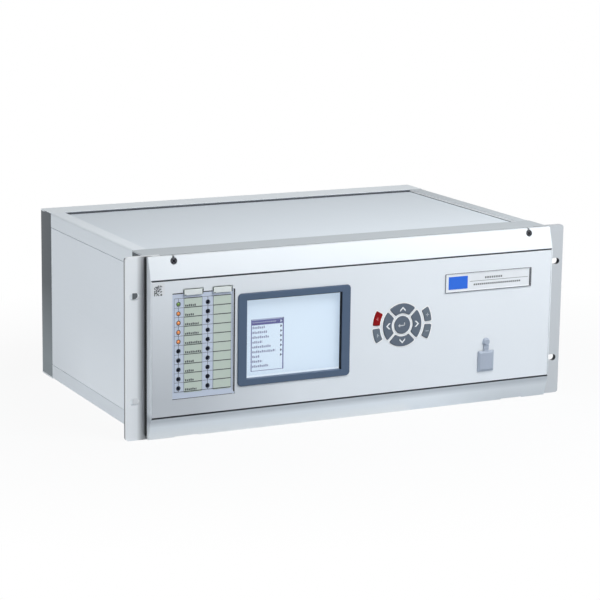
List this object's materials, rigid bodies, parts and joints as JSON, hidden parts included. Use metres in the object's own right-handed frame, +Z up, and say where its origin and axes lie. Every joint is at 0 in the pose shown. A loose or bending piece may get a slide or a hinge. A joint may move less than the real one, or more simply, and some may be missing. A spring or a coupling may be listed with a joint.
{
  "type": "protection relay",
  "caption": "Rack-mounted protection relay with a hinged front panel, display, status lights, round keypad and plug-in rear modules.",
  "frame": {"origin": "middle of the underside, midway between the front of the panel's port cover and the back of the rear terminals", "axes": "+X to the right seen from the front, +Y to the back, +Z up; the front panel faces -Y"},
  "size_m": [0.4826, 0.3149, 0.177],
  "materials": {
    "ear": "bright anodised",
    "rail": "satin anodised",
    "post": "dark grey coated",
    "side_skin": "satin anodised",
    "cover_skin": "satin anodised",
    "steel_screw": "zinc plated",
    "circuit_board": "lacquered board",
    "pin_steel": "ground",
    "module": "chromated plate with black and green terminals",
    "plate_blank": "chromated",
    "stud_brass": "nickel free brass",
    "ribbon": "grey ribbon cable",
    "door_paint": "light satin coating",
    "face": "light satin coating",
    "bezel": "slate blue, fine grain",
    "glass": "clear window",
    "display": "pale screen in a grey housing",
    "overlay": "printed film",
    "label_card": "pale green card",
    "lamp": "lit and unlit lenses",
    "mat_rubber": "silicone",
    "key_blue": "slate blue",
    "key_grey": "grey blue",
    "key_stop": "dark red",
    "nameplate": "white with a dark edge",
    "socket": "shielded socket",
    "flap_rubber": "blue grey rubber",
    "seal_rubber": "black",
    "screw_dark": "blackened"
  },
  "bodies": {
    "chassis": {"ear_left": "ear", "ear_right": "ear", "corner_rail_top_left": "rail", "corner_rail_top_right": "rail", "corner_rail_bottom_left": "rail", "corner_rail_bottom_right": "rail", "front_top_rail": "rail", "front_bottom_rail": "rail", "rear_top_rail": "rail", "rear_bottom_rail": "rail", "front_post_left": "post", "front_post_right": "post", "rear_post_left": "post", "rear_post_right": "post", "side_plate_left": "side_skin", "side_plate_right": "side_skin", "top_cover": "cover_skin", "bottom_cover": "cover_skin", "case_screws": "steel_screw", "backplane": "circuit_board", "hinge_pins": "pin_steel", "power_module": "module", "output_module_1": "module", "output_module_2": "module", "input_module_1": "module", "input_module_2": "module", "analog_module": "module", "fibre_module": "module", "processor_module": "module", "blank_plate": "plate_blank", "module_screws": "steel_screw", "earth_stud": "stud_brass", "ribbon_lead": "ribbon"},
    "door": {"door_frame": "door_paint", "face_plate": "face", "display_bezel": "bezel", "display_glass": "glass", "display_module": "display", "light_overlay": "overlay", "label_strips": "label_card", "status_lights": "lamp", "panel_board": "circuit_board", "key_mat": "mat_rubber", "nameplate": "nameplate", "port_socket": "socket", "cover_strap": "flap_rubber", "door_gasket": "seal_rubber"},
    "key_enter": {"key_enter": "key_blue"},
    "key_up": {"key_up": "key_blue"},
    "key_down": {"key_down": "key_blue"},
    "key_left": {"key_left": "key_blue"},
    "key_right": {"key_right": "key_blue"},
    "key_red": {"key_red": "key_stop"},
    "key_back": {"key_back": "key_grey"},
    "key_plus": {"key_plus": "key_grey"},
    "key_minus": {"key_minus": "key_grey"},
    "captive_screw_left": {"captive_screw_left": "screw_dark"},
    "captive_screw_right": {"captive_screw_right": "screw_dark"},
    "port_cover": {"port_cover": "flap_rubber"}
  },
  "joints": [
    {"name": "door_hinge", "type": "hinge", "parent": "chassis", "child": "door", "pos_m": [0, -0.1461, 0.0036], "axis": [1, 0, 0], "range_deg": [0, 90]},
    {"name": "key_enter_press", "type": "slide", "parent": "door", "child": "key_enter", "axis": [0, 1, 0], "range_m": [0, 0.0008], "stiffness_N_per_m": 2000},
    {"name": "key_up_press", "type": "slide", "parent": "door", "child": "key_up", "axis": [0, 1, 0], "range_m": [0, 0.0008], "stiffness_N_per_m": 2000},
    {"name": "key_down_press", "type": "slide", "parent": "door", "child": "key_down", "axis": [0, 1, 0], "range_m": [0, 0.0008], "stiffness_N_per_m": 2000},
    {"name": "key_left_press", "type": "slide", "parent": "door", "child": "key_left", "axis": [0, 1, 0], "range_m": [0, 0.0008], "stiffness_N_per_m": 2000},
    {"name": "key_right_press", "type": "slide", "parent": "door", "child": "key_right", "axis": [0, 1, 0], "range_m": [0, 0.0008], "stiffness_N_per_m": 2000},
    {"name": "key_red_press", "type": "slide", "parent": "door", "child": "key_red", "axis": [0, 1, 0], "range_m": [0, 0.0008], "stiffness_N_per_m": 2000},
    {"name": "key_back_press", "type": "slide", "parent": "door", "child": "key_back", "axis": [0, 1, 0], "range_m": [0, 0.0008], "stiffness_N_per_m": 2000},
    {"name": "key_plus_press", "type": "slide", "parent": "door", "child": "key_plus", "axis": [0, 1, 0], "range_m": [0, 0.0008], "stiffness_N_per_m": 2000},
    {"name": "key_minus_press", "type": "slide", "parent": "door", "child": "key_minus", "axis": [0, 1, 0], "range_m": [0, 0.0008], "stiffness_N_per_m": 2000},
    {"name": "captive_screw_left_turn", "type": "hinge", "parent": "door", "child": "captive_screw_left", "pos_m": [-0.1955, -0.1477, 0.172], "axis": [0, 1, 0], "continuous": true},
    {"name": "captive_screw_right_turn", "type": "hinge", "parent": "door", "child": "captive_screw_right", "pos_m": [0.1955, -0.1477, 0.172], "axis": [0, 1, 0], "continuous": true},
    {"name": "port_cover_lift", "type": "hinge", "parent": "door", "child": "port_cover", "pos_m": [0.1451, -0.1557, 0.0567], "axis": [-1, 0, 0], "range_deg": [0, 90], "stiffness_Nm_per_rad": 0.004}
  ]
}
